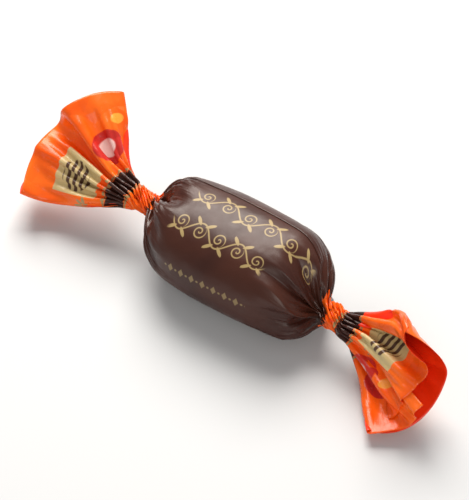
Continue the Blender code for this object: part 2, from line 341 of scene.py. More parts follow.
# %% Roll film over past a line
def curl(across, through, forward, bearing, start, radius, most):
    """the film's place once what lies past the curl's line is rolled up round a cylinder"""
    beyond = across * math.cos(bearing) + forward * math.sin(bearing) - start
    past = np.maximum(beyond, 0)
    rolled = np.minimum(past / radius, most)
    rest = past - rolled * radius
    shift = (radius - through) * np.sin(rolled) + rest * np.cos(rolled) - past
    lifted = radius - (radius - through) * np.cos(rolled) + rest * np.sin(rolled)
    curled = beyond > 0
    return (np.where(curled, across + shift * math.cos(bearing), across),
            np.where(curled, lifted, through),
            np.where(curled, forward + shift * math.sin(bearing), forward))


# %% Gathers run out of the neck and fade towards the cut edge
GATHER_REACH, GATHER_SHIFT = (0.65, 1.2), (-0.25, 0.25)
GATHER_FADE = 0.5
for end in (LEFT_END, RIGHT_END):
    draw = random.Random(end["seed"] + GATHER_SEED)
    ranges = {"strength": end["gather_strength"], "reach": GATHER_REACH, "shift": GATHER_SHIFT}
    end["gathers"] = [{name: draw.uniform(*bounds) for name, bounds in ranges.items()}
                      for _ in range(end["gather_count"])]
    print("end", end["side"], "has", len(end["gathers"]), "loose folds in its fan")


def fan_gather(end, turn, opened):
    """how far the film stands out of the fan, down in valleys and up on ridges"""
    gathers = len(end["gathers"])
    places = [number + gather["shift"] for number, gather in enumerate(end["gathers"])]
    places = np.array(places + [gathers + places[0]])
    count = np.interp(turn % 1.0, (places - places[0]) / gathers, np.arange(gathers + 1))
    number = np.floor(count).astype(int) % gathers
    part = count - np.floor(count)
    strength = np.array([gather["strength"] for gather in end["gathers"]])
    reach = np.array([gather["reach"] for gather in end["gathers"]])

    def left_of(which):
        return strength[which] * smooth_step((reach[which] - opened) / GATHER_FADE)

    here, after = left_of(number), left_of((number + 1) % gathers)
    return np.where(part < 0.5, (here + after) * part * 2 - here, after - 2 * after * (part * 2 - 1))


# %% The film in a fan
GATHER_OPENS = 0.35
FINE_FOLD = 0.6
FINE_FOLD_OPENS, FINE_FOLD_ENDS, FINE_FOLD_FADE = 0.1, 0.55, 0.4


def in_fan(end, share, even):
    mouth, inward = mouth_point(end, even)
    across, through = np.moveaxis(mouth, -1, 0)
    reach = TWIST_LENGTH - FLARE / 2
    forward = np.sqrt(reach ** 2 - across ** 2 - through ** 2)
    travelled = share * TWIST_LENGTH
    part = np.minimum(travelled / FLARE, 1)
    outward = np.where(travelled < FLARE, FLARE * (part ** 3 - part ** 4 / 2), travelled - FLARE / 2)
    opened = outward / reach
    lean = across / FAN_HALF_WIDTH
    gather = smooth_step(opened / GATHER_OPENS) * fan_gather(end, even, opened)
    fine_fold = 1 - np.abs((even * PLEATS) % 1.0 - 0.5) * 4
    fine_fold = FINE_FOLD * smooth_step(opened / FINE_FOLD_OPENS) * fine_fold
    gather = gather + fine_fold * smooth_step((FINE_FOLD_ENDS - opened) / FINE_FOLD_FADE)
    bowed = end["bow"] * lean ** 2 + end["sway"] * np.sin(SWAY_WAVE * lean)
    through = through * opened + opened ** 2 * bowed
    through = through - inward[..., 1] * gather
    across = across * opened - inward[..., 0] * gather
    forward = NECK_LENGTH + travelled - outward + forward * opened
    for roll in end["curls"]:
        across, through, forward = curl(across, through, forward, *roll)
    start = in_neck(end, 1.0, even)
    cos, sin = math.cos(end["fan_turn"]), math.sin(end["fan_turn"])
    y = start[..., 1] * (1 - opened) + across * cos - through * sin
    z = start[..., 2] * (1 - opened) + across * sin + through * cos
    x = forward - NECK_LENGTH
    bend = smooth_step(share * LEAN_REACH)
    up, out = -end["lean_y"] * bend, end["lean_z"] * bend
    x, z = x * np.cos(up) + z * np.sin(up), z * np.cos(up) - x * np.sin(up)
    x, y = x * np.cos(out) - y * np.sin(out), x * np.sin(out) + y * np.cos(out)
    return np.stack([x + NECK_LENGTH, y, z], -1)


# %% Twisting also crumples a neck, in bends a millimetre or two across
CRUMPLE = 0.15
CRUMPLE_WAVES = 8
CRUMPLE_WAVE = (1.5, 3.0)
CRUMPLE_REACH = 3.0
scatter = np.random.default_rng(5)
ways = scatter.normal(size=(CRUMPLE_WAVES, 3))
ways *= (math.tau / scatter.uniform(*CRUMPLE_WAVE, CRUMPLE_WAVES) / np.linalg.norm(ways, axis=1))[:, None]
starts = scatter.uniform(0, math.tau, CRUMPLE_WAVES)


def crumpled(point, end, out):
    """the points of a neck moved in and out by a few waves that cross at random"""
    waves = sum(np.sin(point @ way + start) for way, start in zip(ways, starts))
    waves = waves / math.sqrt(CRUMPLE_WAVES / 2)
    near = np.exp(-((out - NECK_MIDDLE) / CRUMPLE_REACH) ** 2)
    axis = np.array(end["neck"])
    point[..., 1:] = axis + (point[..., 1:] - axis) * (1 + CRUMPLE * waves * near)[..., None]
    return point


# %% Half of the film, from the middle of the sweet to one cut edge
def half_of_film(end, out, even):
    reached = np.interp(out, arc_table, steps)
    root = np.array([BODY_LENGTH / 2, *end["neck"]])
    sweet = over_sweet(end, reached, even)
    neck = in_neck(end, np.clip((out - BODY_FILM) / NECK_FILM, 0, 1), even) + root
    fan = in_fan(end, np.clip((out - FAN_ROOT) / TWIST_LENGTH, 0, 2), even) + root
    place = out[..., None]
    point = np.where(place <= BODY_FILM, sweet, np.where(place <= FAN_ROOT, neck, fan))
    point = crumpled(point, end, out)
    height = point[..., 2] + LIFT
    free = FLOOR_GAP + FLOOR_SOFTNESS
    sinks = (point[..., 0] > BODY_LENGTH / 2) & (height < free)
    soft = FLOOR_GAP + FLOOR_SOFTNESS * np.exp((np.minimum(height, free) - free) / FLOOR_SOFTNESS)
    point[..., 2] = np.maximum(np.where(sinks, soft, height), 0)
    point[..., 0] *= end["side"]
    return point


# %% [markdown]
# ## The flat sheet
#
# The film is cut as a rectangle and put on slightly askew, so each turn starts a
# few millimetres further along and a corner peeps out at each mouth. Its grid has
# a whole number of columns to a turn, so the two layers of the overlap can be
# matched point to point.

# %% Count out the sheet
TURN_COLUMNS = 87
LAP_COLUMNS = 13
SHEET_ROWS = 120
ASKEW_ROWS = 4
LAP = GIRTH * LAP_COLUMNS / TURN_COLUMNS
print("the flat sheet is %.1f x %.1f mm, with %.1f mm of overlap" % (2 * HALF_FILM, GIRTH + LAP, LAP))


def wrapped(fine):
    """the sheet's points as first wrapped, with the grid this many times finer"""
    rows, columns = SHEET_ROWS * fine, (TURN_COLUMNS + LAP_COLUMNS) * fine
    along = np.linspace(-HALF_FILM, HALF_FILM, rows + 1)[:, None]
    even = (np.arange(columns + 1) / fine - LAP_COLUMNS)[None, :] / TURN_COLUMNS
    askew = 2 * HALF_FILM / SHEET_ROWS * ASKEW_ROWS * (0.5 - even)
    placed, turned = np.broadcast_arrays(along + askew, even)
    left = half_of_film(LEFT_END, np.maximum(-placed, 0), turned)
    right = half_of_film(RIGHT_END, np.maximum(placed, 0), turned)
    return placed, turned, np.where(placed[..., None] < 0, left, right)


# %% [markdown]
# ## Let the film settle
#
# The wrapped points are close, but a real film also keeps its own size: it can
# bend and buckle, and it can't stretch. So every pair of neighbouring points is
# pulled back to the distance it had on the flat sheet, over and over, while the
# sweet and the table hold the film off. That turns the drawn pleats into real
# ones, with sharp ridges that fan out from each neck.
#
# Blender's Cloth could do this, but it needs the film to be wound and twisted over
# hundreds of frames. Working on the points directly takes a few seconds and gives
# the same result on every run.

# %% Pull pairs of points back to their flat distance
DIAGONAL_STRENGTH = 0.5


def pull(first, second, flat, strength):
    apart = second - first
    length = np.linalg.norm(apart, axis=-1, keepdims=True) + 1e-9
    move = apart * ((length - flat) / length * strength / 2)
    first += move
    second -= move


def pull_along(points, flat, strength, step, axis):
    """pull points that are so many steps apart along one way of the sheet, in sets that share no point"""
    points = points if axis == 0 else points.swapaxes(0, 1)
    strength = strength if axis == 0 else strength.swapaxes(0, 1)
    for start in range(2 * step):
        index = np.arange(start, len(points) - step, 2 * step)
        first, second = points[index], points[index + step]
        pull(first, second, flat, strength[index])
        points[index], points[index + step] = first, second


def pull_across(points, flat):
    """pull the points at opposite corners of each square"""
    for start in (0, 1):
        count = (len(points) - start) // 2 * 2
        upper, lower = points[start:start + count:2], points[start + 1:start + count:2]
        pull(upper[:, :-1], lower[:, 1:], flat, DIAGONAL_STRENGTH)
        pull(upper[:, 1:], lower[:, :-1], flat, DIAGONAL_STRENGTH)


# %% Keep the film off the sweet and the table
SHOULDER_GIVE = 1.2
GIVE_START, GIVE_FADE = 0.5, 0.4
TIP_RADIUS, THINNEST = 1.5, 0.5
HELD_UNTIL, HELD_FADE = 0.93, 0.1
DEEPEST = 0.3


def section(points, level):
    """how far out each point is in the sweet's section, 1 on its surface raised by the level, and its hold"""
    reached = np.clip(np.abs(points[..., 0]) / (BODY_LENGTH / 2), 0, 1)
    level = level - SHOULDER_GIVE * smooth_step((reached - GIVE_START) / GIVE_FADE)
    half_width, half_height = (
        np.maximum(np.maximum(side / 2 * closing(reached), TIP_RADIUS) + level, THINNEST)
        for side in (BODY_WIDTH, BODY_HEIGHT))
    across, up = points[..., 1], points[..., 2] - LIFT
    out = (np.abs(across / half_width) ** SECTION_POWER + np.abs(up / half_height) ** SECTION_POWER)
    return out ** (1 / SECTION_POWER), smooth_step((HELD_UNTIL - reached) / HELD_FADE)


def hold_off(points, level):
    """lift points that are inside the sweet out to its surface, and those under the table on to it"""
    out, near = section(points, level)
    push = np.where((out < 1) & (near > 0), 1 + (1 / np.maximum(out, DEEPEST) - 1) * near, 1.0)
    points[..., 1] *= push
    points[..., 2] = np.maximum((points[..., 2] - LIFT) * push + LIFT, FILM_WALL)


# %% Keep the two layers of the overlap together
def press_overlap(points, fine, together):
    """the outer layer lies a film's gap above the inner one, as far as the fans"""
    turn, askew, lap = TURN_COLUMNS * fine, ASKEW_ROWS * fine, LAP_COLUMNS * fine + 1
    inner = points[:-askew, :lap]
    outer = points[askew:, turn:turn + lap]
    middle = (inner + outer) / 2
    out = np.cross(np.gradient(middle, axis=1), np.gradient(middle, axis=0))
    out /= np.linalg.norm(out, axis=-1, keepdims=True) + 1e-9
    weight = together[:-askew, :lap, None]
    inner += (middle - out * LAYER_GAP / 2 - inner) * weight
    outer += (middle + out * LAYER_GAP / 2 - outer) * weight


# %% A few deep creases, each at its place round the seam, with a reach and a depth
CREASE_HALF_WIDTH = 2.1
CREASE_FINISH = 0.9
CREASE_BLEND = 3.0
CREASE_OVERRUN = 1.0
CREASE_LIMIT = 0.6


def pressed_in(placed, turned):
    """how deep the film is drawn in at its creases"""
    from_neck = BODY_FILM - np.abs(placed)
    radius = np.interp(np.abs(placed), arc_table, girth_radius)
    depth = np.zeros_like(placed)
    for end, here in ((LEFT_END, placed < 0), (RIGHT_END, placed >= 0)):
        for place, reach, deepest in end["creases"]:
            away = np.abs((turned - place / GIRTH + 0.5) % 1.0 - 0.5) * math.tau * radius
            valley = np.maximum(0, 1 - away / CREASE_HALF_WIDTH)
            rising = smooth_step((reach - from_neck) / (reach - CREASE_BLEND))
            along_it = rising * smooth_step((from_neck + CREASE_OVERRUN) / CREASE_BLEND)
            depth = np.maximum(depth, here * deepest * valley * along_it)
    return depth


def press_creases(points, placed, depth):
    """draw the film towards the sweet's long axis"""
    shift = smooth_step((np.abs(placed) / BODY_FILM - NECK_PULL) / (1 - NECK_PULL))
    neck = np.where((placed < 0)[..., None], LEFT_END["neck"], RIGHT_END["neck"])
    radial = points[..., 1:] - (neck * shift[..., None] + (0, LIFT))
    size = np.linalg.norm(radial, axis=-1, keepdims=True)
    points[..., 1:] -= radial / size * np.minimum(depth[..., None], size * CREASE_LIMIT)


# %% Settle the film in rounds
SWEET_HOLD, SWEET_HOLD_ENDS, SWEET_HOLD_FADE = 0.5, 4.0, 8.0
NECK_HOLD, NECK_HOLD_REACH = 0.25, 2.6
LEAST_STIFFNESS = 0.03
FAN_BLEND = 8.0
STIFF_FROM = 2.0
STRAIGHTEN = 0.6
STRAIGHT_FROM, STRAIGHT_BLEND = -1.0, 5.0
FAR_STEPS = ((2, 1.0), (4, 0.5))


def settle(points, goal, placed, turned, fine, rounds, fan_stiffness, fan_hold, edge_hold):
    """the film after so many rounds, given a fan's stiffness along and round and its hold on its place"""
    from_middle = np.abs(placed)
    from_root = from_middle - FAN_ROOT
    to_edge = np.clip(from_root / TWIST_LENGTH, 0, 1)
    along_flat = 2 * HALF_FILM / (SHEET_ROWS * fine)
    round_flat = GIRTH / (TURN_COLUMNS * fine)
    hold = np.maximum(smooth_step((BODY_FILM - SWEET_HOLD_ENDS - from_middle) / SWEET_HOLD_FADE) * SWEET_HOLD,
                      np.exp(-((from_middle - NECK_MIDDLE) / NECK_HOLD_REACH) ** 2) * NECK_HOLD)
    hold = np.maximum(hold, fan_hold + (edge_hold - fan_hold) * to_edge ** 2)[..., None]
    in_the_fan = smooth_step((from_root - STIFF_FROM) / FAN_BLEND)
    stiffness = [(LEAST_STIFFNESS + (most - LEAST_STIFFNESS) * in_the_fan)[..., None]
                 for most in fan_stiffness]
    whole = np.ones_like(stiffness[0])
    together = 1 - smooth_step(from_root / FAN_BLEND)
    straight = (STRAIGHTEN * smooth_step((from_root - STRAIGHT_FROM) / STRAIGHT_BLEND))[..., None]
    level = LAYER_GAP * turned - pressed_in(placed, turned)
    for _ in range(rounds):
        for axis, flat in ((0, along_flat), (1, round_flat)):
            pull_along(points, flat, whole, 1, axis)
        pull_across(points, math.hypot(along_flat, round_flat))
        for step, share in FAR_STEPS:
            for axis, flat in ((0, along_flat), (1, round_flat)):
                pull_along(points, flat * step, stiffness[axis] * share, step, axis)
        bow = (points[:-2] + points[2:]) / 2 - points[1:-1]
        points[1:-1] += bow * straight[1:-1]
        points += (goal - points) * hold
        press_overlap(points, fine, together)
        hold_off(points, level)
    return points


# %% Open out folds that are sharper than the film can bend
FOLD_ROUNDS = 6
FREE_FOLD = 0.5


def open_folds(points):
    """a fold may turn the film 60 degrees at a point, and any more is shared with the points beside it"""
    for _ in range(FOLD_ROUNDS):
        for _ in range(2):
            into, out = points[1:-1] - points[:-2], points[2:] - points[1:-1]
            sizes = np.linalg.norm(into, axis=-1) * np.linalg.norm(out, axis=-1)
            straight = (into * out).sum(-1) / sizes
            points[1:-1] += (out - into) / 4 * smooth_step(FREE_FOLD - straight)[..., None]
            points = points.swapaxes(0, 1)
    return points


# %% Halve the grid by fitting a curve through its points
def halved(points):
    """each new point lies on the cubic through the two old ones on either side of it"""
    for _ in range(2):
        fine = np.empty((2 * len(points) - 1,) + points.shape[1:])
        fine[::2] = points
        ends = np.concatenate([2 * points[:1] - points[1:2], points, 2 * points[-1:] - points[-2:-1]])
        fine[1::2] = (-ends[:-3] + 9 * ends[1:-2] + 9 * ends[2:-1] - ends[3:]) / 16
        points = fine.swapaxes(0, 1)
    return points


# %% Settle it coarse, then fine
NUDGE = 0.04
FLARE_BLEND = 4.0
placed, turned, start = wrapped(1)
nudged = start + scatter.normal(0, NUDGE, start.shape)
coarse = settle(nudged, start, placed, turned, fine=1, rounds=120,
                fan_stiffness=(0.5, 0.08), fan_hold=0.03, edge_hold=0.06)
placed, turned, start = wrapped(2)
film_points = halved(coarse)
fans = smooth_step((np.abs(placed) - FAN_ROOT) / FLARE_BLEND)[..., None]
goal = start * (1 - fans) + film_points * fans
press_creases(film_points, placed, pressed_in(placed, turned))
film_points = settle(film_points, goal, placed, turned, fine=2, rounds=60,
                     fan_stiffness=(0.4, 0.04), fan_hold=0.02, edge_hold=0.02)
press_creases(film_points, placed, CREASE_FINISH * pressed_in(placed, turned))
film_points = open_folds(film_points)
spread = np.linalg.norm(np.diff(film_points, axis=1), axis=-1) / (GIRTH / (2 * TURN_COLUMNS))
print("film strain round the sweet: %.3f on average, spread %.3f" % (spread.mean() - 1, spread.std()))

# %% [markdown]
# ## Make the mesh
#
# The sheet starts as Blender's Grid, which already has a UV map: that map is the
# flat print, corner to corner. Its points then move to where the film settled.
# The grid faces up and the wrapped film would face the sweet, so the normals are
# flipped before Solidify gives the film its thickness, on the inner side. Only one
# side of the film is printed, so both materials are on the sheet by then, and
# Solidify gives the second to the inner side.

# %% A flat printed sheet
rows, columns = film_points.shape[0] - 1, film_points.shape[1] - 1
bpy.ops.object.select_all(action="DESELECT")
bpy.ops.mesh.primitive_grid_add(x_subdivisions=rows, y_subdivisions=columns, size=1.0, calc_uvs=True)
film = bpy.context.object
film.name = film.data.name = "film_wrapper"
flat = np.empty(len(film.data.vertices) * 3)
film.data.vertices.foreach_get("co", flat)
row, column = np.rint((flat.reshape(-1, 3)[:, :2] + 0.5) * (rows, columns)).astype(int).T
film.data.vertices.foreach_set("co", (film_points[row, column] * MM).ravel())
film.data.update()

# %% Turn it face out and give it a wall
bpy.ops.object.mode_set(mode="EDIT")
bpy.ops.mesh.select_all(action="SELECT")
bpy.ops.mesh.flip_normals()
bpy.ops.object.mode_set(mode="OBJECT")
printed = bpy.data.materials.new("printed_polypropylene")
back = bpy.data.materials.new("polypropylene_back")
film.data.materials.append(printed)
film.data.materials.append(back)
wall = film.modifiers.new("wall", "SOLIDIFY")
wall.thickness = FILM_WALL * MM
wall.offset = -1.0
wall.material_offset = 1
bpy.ops.object.modifier_apply(modifier="wall")
bpy.ops.object.shade_smooth()
print("the wrapped film has", len(film.data.polygons), "faces and is",
      [round(side / MM, 1) for side in film.dimensions], "mm")

# %% [markdown]
# ## The print
#
# The film is twist-wrap polypropylene, about 0.03 mm thick and glossy, with wide
# soft highlights because it is slightly crumpled everywhere. Its inks are a dark
# chocolate brown over the sweet with fine dull-gold ornament, a ragged orange edge
# at each neck, a brown band, and orange fans with beige panels of brown bars.
#
# The print could be an image, but nodes stay sharp at any distance and follow real
# sizes. All of it is drawn in millimetres on the flat sheet, through the UV map.

# %% Colour and node helpers
def linear(code):
    """an sRGB hex colour as the linear numbers that a shader wants"""
    parts = [int(code[i:i + 2], 16) / 255 for i in (1, 3, 5)]
    return tuple(p / 12.92 if p <= 0.04045 else ((p + 0.055) / 1.055) ** 2.4 for p in parts) + (1.0,)


def add_node(tree, kind, settings, *inputs, **named):
    """add a node, set its properties, and fill or link its inputs in order or by name"""
    node = tree.nodes.new("ShaderNode" + kind)
    for name, value in settings.items():
        setattr(node, name, value)
    by_name = [(name.replace("_", " "), value) for name, value in named.items()]
    for socket, value in list(enumerate(inputs)) + by_name:
        if isinstance(value, bpy.types.Node):
            tree.links.new(value.outputs[0], node.inputs[socket])
        elif isinstance(value, bpy.types.NodeSocket):
            tree.links.new(value, node.inputs[socket])
        elif value is not None:
            node.inputs[socket].default_value = value
    return node


# %% Start the printed film's material
SHEET_LENGTH, SHEET_WIDTH = 2 * HALF_FILM, GIRTH + LAP


def empty_tree(material):
    material.use_nodes = True
    material.node_tree.nodes.clear()
    return material.node_tree


def sheet_place(tree):
    """where a point lies on the flat sheet, in millimetres from the middle and round from the seam"""
    on_sheet = add_node(tree, "UVMap", {"uv_map": film.data.uv_layers[0].name})
    sheet_size = (SHEET_LENGTH, SHEET_WIDTH, 0)
    on_sheet = add_node(tree, "VectorMath", {"operation": "MULTIPLY"}, on_sheet, sheet_size)
    on_sheet = add_node(tree, "VectorMath", {"operation": "SUBTRACT"}, on_sheet, (HALF_FILM, LAP, 0))
    return on_sheet, *add_node(tree, "SeparateXYZ", {}, on_sheet).outputs[:2]


ink = empty_tree(printed)
sheet_mm, along, around = sheet_place(ink)

# %% [markdown]
# The patterns are built from masks. A mask is 1 where a distance is under a limit
# and falls to 0 over a short soft edge, as ink does on film. Everything before that
# is a distance in millimetres: to a line, to a wave, or to the middle of an oval.

# %% Mask helpers
INK_EDGE = 0.09


def sum_up(operation, *inputs):
    """one step of arithmetic on the sheet's millimetres"""
    return add_node(ink, "Math", {"operation": operation}, *inputs)


def away_from(value, middle):
    return sum_up("ABSOLUTE", sum_up("SUBTRACT", value, middle))


def within(distance, limit, edge=INK_EDGE):
    return add_node(ink, "MapRange", {"interpolation_type": "SMOOTHSTEP"},
                    distance, limit - edge, limit + edge, 1.0, 0.0)


def both(first, second):
    return sum_up("MULTIPLY", first, second)


def oval(x, y, middle, radii, turn=0.0):
    """how far out of an oval a point is, 1 on its edge"""
    x, y = sum_up("SUBTRACT", x, middle[0]), sum_up("SUBTRACT", y, middle[1])
    cos, sin = math.cos(turn), math.sin(turn)
    long = sum_up("MULTIPLY_ADD", x, cos / radii[0], sum_up("MULTIPLY", y, sin / radii[0]))
    wide = sum_up("MULTIPLY_ADD", x, -sin / radii[1], sum_up("MULTIPLY", y, cos / radii[1]))
    return sum_up("SQRT", sum_up("MULTIPLY_ADD", long, long, sum_up("MULTIPLY", wide, wide)))


def painted(under, colour, mask):
    """lay one colour over another where the mask is 1"""
    return add_node(ink, "MixRGB", {}, mask, under, colour)


# %% [markdown]
# The brown stops at each neck in a ragged edge, because the film is crumpled as it
# is twisted and the ink flakes at the creases. Noise moves the edge to and fro.

# %% Where each ground colour lies
SWEET_PRINT = 21.8
ROOT_BAND = 29.3
BAND_HALF = 1.9
BAND_LINE_GAP, BAND_LINE_HALF = 0.35, 0.22
RAGGED = 5.0
BAND_RAGGED = 0.3


def brown_grounds():
    """how far from the middle, the flaking of the ink, and how far from the sweet's and the band's print"""
    from_middle = sum_up("ABSOLUTE", along)
    flaking = add_node(ink, "TexNoise", {"noise_dimensions": "2D"}, sheet_mm, Scale=0.7, Detail=3.0)
    ragged = sum_up("MULTIPLY_ADD", flaking, RAGGED, -RAGGED / 2)
    on_sweet = within(sum_up("ADD", from_middle, ragged), SWEET_PRINT)
    to_band = away_from(sum_up("MULTIPLY_ADD", ragged, BAND_RAGGED, from_middle), ROOT_BAND)
    return from_middle, flaking, on_sweet, to_band


from_middle, flaking, on_sweet, to_band = brown_grounds()
band_line = within(away_from(to_band, BAND_HALF + BAND_LINE_GAP), BAND_LINE_HALF)

# %% [markdown]
# The ornament is a running scroll, as on much confectionery paper: a thin wavy
# stem, with a tendril curled up inside each bend and a leaf on each side of its
# crest. Folding the wave over at its own middle line draws both sides at once. It
# is set twice round the sweet, with a row of lozenges and beads below it.

# %% A running scroll
REPEAT = GIRTH / 2
PEN = 0.125
TENDRIL_PEN = 0.9 * PEN
CURL_RADIUS, CURL_PITCH, CURL_GAP = 1.25, 0.82, 0.25
LEAF_OUT, LEAF_UP, LEAF_RADII, LEAF_LEAN = 1.25, 0.15, (0.95, 0.30), math.radians(38)
in_repeat = sum_up("FLOORED_MODULO", around, REPEAT)


def running_scroll(row, wave, height, shift, reach):
    """a row of scroll as a mask, so far round, with the middle and half length of its reach along"""
    bends = sum_up("DIVIDE", sum_up("ADD", along, shift), wave / 2)
    count = sum_up("ROUND", bends)
    from_crest = sum_up("MULTIPLY", sum_up("SUBTRACT", bends, count), wave / 2)
    side = sum_up("MULTIPLY_ADD", sum_up("FLOORED_MODULO", count, 2.0), -2.0, 1.0)
    up = both(sum_up("SUBTRACT", in_repeat, row), side)
    phase = sum_up("MULTIPLY", from_crest, math.tau / wave)
    slope = sum_up("MULTIPLY", sum_up("SINE", phase), height * math.tau / wave)
    steep = sum_up("SQRT", sum_up("MULTIPLY_ADD", slope, slope, 1.0))
    to_stem = sum_up("DIVIDE", away_from(up, sum_up("MULTIPLY", sum_up("COSINE", phase), height)), steep)
    drawn = within(to_stem, PEN)
    curl_up = sum_up("SUBTRACT", up, height - CURL_RADIUS - CURL_GAP)
    curl_out = sum_up("SQRT", sum_up("MULTIPLY_ADD", from_crest, from_crest, both(curl_up, curl_up)))
    curl_turn = sum_up("DIVIDE", sum_up("ARCTAN2", curl_up, from_crest), math.tau)
    winding = sum_up("SUBTRACT", sum_up("DIVIDE", curl_out, CURL_PITCH), curl_turn)
    to_curl = sum_up("MULTIPLY", away_from(sum_up("FRACT", winding), 0.5), CURL_PITCH)
    tendril = both(within(to_curl, TENDRIL_PEN), within(curl_out, CURL_RADIUS))
    drawn = sum_up("MAXIMUM", drawn, tendril)
    for lean in (1, -1):
        leaf = oval(from_crest, up, (lean * LEAF_OUT, height + LEAF_UP), LEAF_RADII, lean * LEAF_LEAN)
        drawn = sum_up("MAXIMUM", drawn, within(leaf, 1.0, 0.2))
    return both(drawn, within(away_from(along, reach[0]), reach[1], 0.5))


scrolls = sum_up("MAXIMUM",
                 running_scroll(row=3.6, wave=9.0, height=1.45, shift=0.4, reach=(1.4, 13.0)),
                 running_scroll(row=10.0, wave=8.0, height=1.40, shift=1.9, reach=(-2.0, 9.6)))
print("the ornament repeats every %.1f mm round the sweet" % REPEAT)

# %% A row of lozenges with a bead between each two
LOZENGE_ROW, LOZENGE_PITCH = 18.6, 2.3
LOZENGE_HALF = (0.55, 0.95)
BEAD_RADII = (0.24, 0.24)
ROW_MIDDLE, ROW_HALF = -1.0, 8.6
in_pitch = sum_up("SUBTRACT", sum_up("FRACT", sum_up("DIVIDE", along, LOZENGE_PITCH)), 0.5)
in_pitch = sum_up("MULTIPLY", in_pitch, LOZENGE_PITCH)
from_lozenge = sum_up("DIVIDE", away_from(in_pitch, 0.0), LOZENGE_HALF[0])
from_row = sum_up("DIVIDE", away_from(in_repeat, LOZENGE_ROW), LOZENGE_HALF[1])
lozenge = sum_up("ADD", from_lozenge, from_row)
from_bead = sum_up("SUBTRACT", away_from(in_pitch, 0.0), LOZENGE_PITCH / 2)
bead = oval(from_bead, in_repeat, (0.0, LOZENGE_ROW), BEAD_RADII)
lozenges = sum_up("MAXIMUM", within(lozenge, 1.0, 0.15), within(bead, 1.0, 0.3))
lozenges = both(lozenges, within(away_from(along, ROW_MIDDLE), ROW_HALF))

# %% [markdown]
# In the fans, beige panels with plain brown bars alternate with a red oval that
# has a pale middle, with a small yellow spot and a gold sprig between them. Each
# fan is turned so that a panel lies on its near layer.

# %% Where a point lies on a fan's print, out from its middle and round
PRINT_MIDDLE = 37.6
LEFT_PHASE, RIGHT_PHASE = 4.0, 7.0
on_right = sum_up("GREATER_THAN", along, 0.0)
phase = sum_up("MULTIPLY_ADD", on_right, RIGHT_PHASE - LEFT_PHASE, LEFT_PHASE)
fan_x = sum_up("SUBTRACT", from_middle, PRINT_MIDDLE)
fan_y = sum_up("SUBTRACT", sum_up("FLOORED_MODULO", sum_up("SUBTRACT", around, phase), REPEAT), REPEAT / 2)

# %% A panel with bars that are cut off by an oval
PANEL_AT, PANEL_HALF = (0.0, -6.0), (4.4, 5.2)
BARS_AT, BARS_RADII = (0.2, -6.0), (3.0, 4.3)
BAR_PITCH, BAR_SLOPE, BAR_SHARE = 1.35, 0.25, 0.26
panel = both(within(away_from(fan_x, PANEL_AT[0]), PANEL_HALF[0]),
             within(away_from(fan_y, PANEL_AT[1]), PANEL_HALF[1]))
bar_place = sum_up("FRACT", sum_up("DIVIDE", sum_up("MULTIPLY_ADD", fan_y, BAR_SLOPE, fan_x), BAR_PITCH))
bars = within(away_from(bar_place, 0.5), BAR_SHARE, 0.06)
bars = both(bars, within(oval(fan_x, fan_y, BARS_AT, BARS_RADII), 1.0, 0.04))

# %% An oval, a spot, and a sprig of five leaves on a bud
OVAL_AT, OVAL_RADII, OVAL_INSIDE = (-0.4, 7.6), (3.3, 4.4), 0.52
SPOT_AT, SPOT_RADII, SPOT_TURN = (4.6, 3.4), (1.0, 1.5), 0.4
SPRIG_AT, BUD_RADII = (-2.6, 1.3), (0.5, 0.5)
SPRIG_REACH, SPRIG_LEAF, SPRIG_LEANS = 1.35, (0.8, 0.32), (-76, -38, 0, 38, 76)
red_oval = oval(fan_x, fan_y, OVAL_AT, OVAL_RADII)
yellow_spot = oval(fan_x, fan_y, SPOT_AT, SPOT_RADII, SPOT_TURN)
sprig = within(oval(fan_x, fan_y, SPRIG_AT, BUD_RADII), 1.0, 0.2)
for lean in SPRIG_LEANS:
    way = math.radians(lean)
    leaf_at = (SPRIG_AT[0] + SPRIG_REACH * math.cos(way), SPRIG_AT[1] + SPRIG_REACH * math.sin(way))
    sprig = sum_up("MAXIMUM", sprig, within(oval(fan_x, fan_y, leaf_at, SPRIG_LEAF, way), 1.0, 0.2))

# %% Lay the inks over each other
DRIFT_SCALE = 0.09
LOZENGE_STRENGTH = 0.6
ORANGE, DEEP_ORANGE = linear("#ff6e1c"), linear("#f85a10")
BROWN, WARM_BROWN = linear("#3b1d16"), linear("#46241a")
GOLD, BEIGE, BAR_BROWN = linear("#a69062"), linear("#cdb682"), linear("#543a2b")
RED, PALE, YELLOW = linear("#c8302a"), linear("#e6bdb8"), linear("#f2a03a")
drift = add_node(ink, "TexNoise", {"noise_dimensions": "2D"}, sheet_mm, Scale=DRIFT_SCALE, Detail=2.0)
ground = painted(ORANGE, DEEP_ORANGE, within(drift, 0.5, 0.16))
ground = painted(ground, BEIGE, panel)
ground = painted(ground, BAR_BROWN, bars)
ground = painted(ground, RED, within(red_oval, 1.0, 0.04))
ground = painted(ground, PALE, within(red_oval, OVAL_INSIDE, 0.05))
ground = painted(ground, YELLOW, within(yellow_spot, 1.0, 0.1))
ground = painted(ground, GOLD, sprig)
ground = painted(ground, GOLD, band_line)
ground = painted(ground, BROWN, within(to_band, BAND_HALF))
sweet_brown = painted(BROWN, WARM_BROWN, within(drift, 0.5, 0.2))
sweet_brown = painted(sweet_brown, GOLD, sum_up("MAXIMUM", scrolls, both(lozenges, LOZENGE_STRENGTH)))
inks = painted(ground, sweet_brown, on_sweet)

# %% [markdown]
# ## Crumpling
#
# Three sizes of crumple catch the light on real film: a slow unevenness 8 mm
# across, facets of about 5.5 mm with creases between them, mostly in the fans, and
# fine gathers about 1.3 mm apart that run into each neck. One Bump node adds them
# on top of the folds that are really there.

